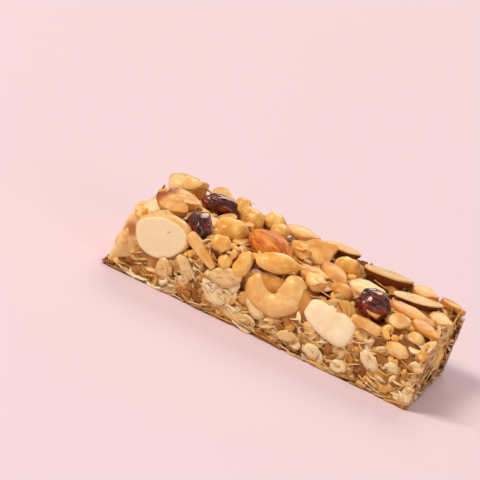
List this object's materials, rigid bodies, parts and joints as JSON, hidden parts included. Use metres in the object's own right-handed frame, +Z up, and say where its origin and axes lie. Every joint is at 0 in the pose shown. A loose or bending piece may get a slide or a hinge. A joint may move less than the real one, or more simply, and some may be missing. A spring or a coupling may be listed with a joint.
{
  "type": "granola bar",
  "caption": "Rectangular granola bar of syrup-bound rolled oats, topped and sided with almonds, almond slices, other nuts and dried cranberries.",
  "frame": {"origin": "centre of the flat base, on the surface that the bar lies on", "axes": "+X along the bar towards its square-cut end, +Y across it, +Z up through its nut-covered top"},
  "size_m": [0.1, 0.0439, 0.0262],
  "materials": {
    "oats": "rolled oat flakes with a thin coat of syrup, in pinkish beige to tan, with brown gaps between them",
    "syrup": "set amber syrup that binds the oats, glossy and slightly translucent",
    "cranberry": "dried cranberry, dark red and wrinkled, with a syrup gloss",
    "almond_skin": "orange-brown almond skin with fine ridges along it, under a thin glaze",
    "blanched_nut": "skinned nut in golden cream, under a thin glaze",
    "pale_nut": "pale cream nut flesh, smooth and satin",
    "toasted_nut": "toasted almond in ochre with a browner rim, under a thin glaze"
  },
  "bodies": {
    "root": {"oat_block": "oats", "cranberry_ridge": "cranberry", "cranberry_edge": "cranberry", "cranberry_front": "cranberry", "cranberry_far": "cranberry", "almond_whole": "almond_skin", "almond_blanched": "blanched_nut", "almond_toasted_left": "toasted_nut", "almond_toasted_mid": "toasted_nut", "almond_toasted_front": "toasted_nut", "cashew_side": "pale_nut", "cashew_far": "pale_nut", "macadamia_side": "pale_nut", "macadamia_far": "pale_nut", "brazil_cut_side": "pale_nut", "almond_far": "almond_skin", "peanut_rear": "blanched_nut", "peanut_far_left": "blanched_nut", "peanut_far_right": "blanched_nut", "peanut_front": "blanched_nut", "peanut_edge_left": "blanched_nut", "peanut_edge_right": "blanched_nut", "peanut_middle": "blanched_nut", "peanut_far_end": "blanched_nut", "peanut_centre": "blanched_nut", "hazelnut_corner": "pale_nut", "peanut_side_right": "pale_nut", "peanut_left_end": "blanched_nut", "peanut_right_end": "blanched_nut", "nut_chunk_front": "pale_nut", "nut_chunk_left_far": "pale_nut", "nut_chunk_left_mid": "blanched_nut", "nut_chunk_left_near": "pale_nut", "nut_wedge_centre": "blanched_nut", "almond_half_skin_far": "almond_skin", "almond_half_skin_right": "almond_skin", "almond_half_skin_edge": "almond_skin", "almond_slice_far": "blanched_nut", "almond_slice_broad": "blanched_nut", "almond_slice_amber": "toasted_nut", "almond_slice_middle": "blanched_nut", "almond_slice_pale": "pale_nut", "almond_slice_long_a": "toasted_nut", "almond_slice_long_b": "toasted_nut", "almond_slice_corner": "pale_nut", "almond_slice_end": "blanched_nut", "almond_slice_far_right": "toasted_nut", "almond_slice_far_mid": "blanched_nut", "almond_slice_left_far": "pale_nut", "almond_sliver_left": "blanched_nut", "almond_sliver_right": "pale_nut"}
  },
  "joints": []
}
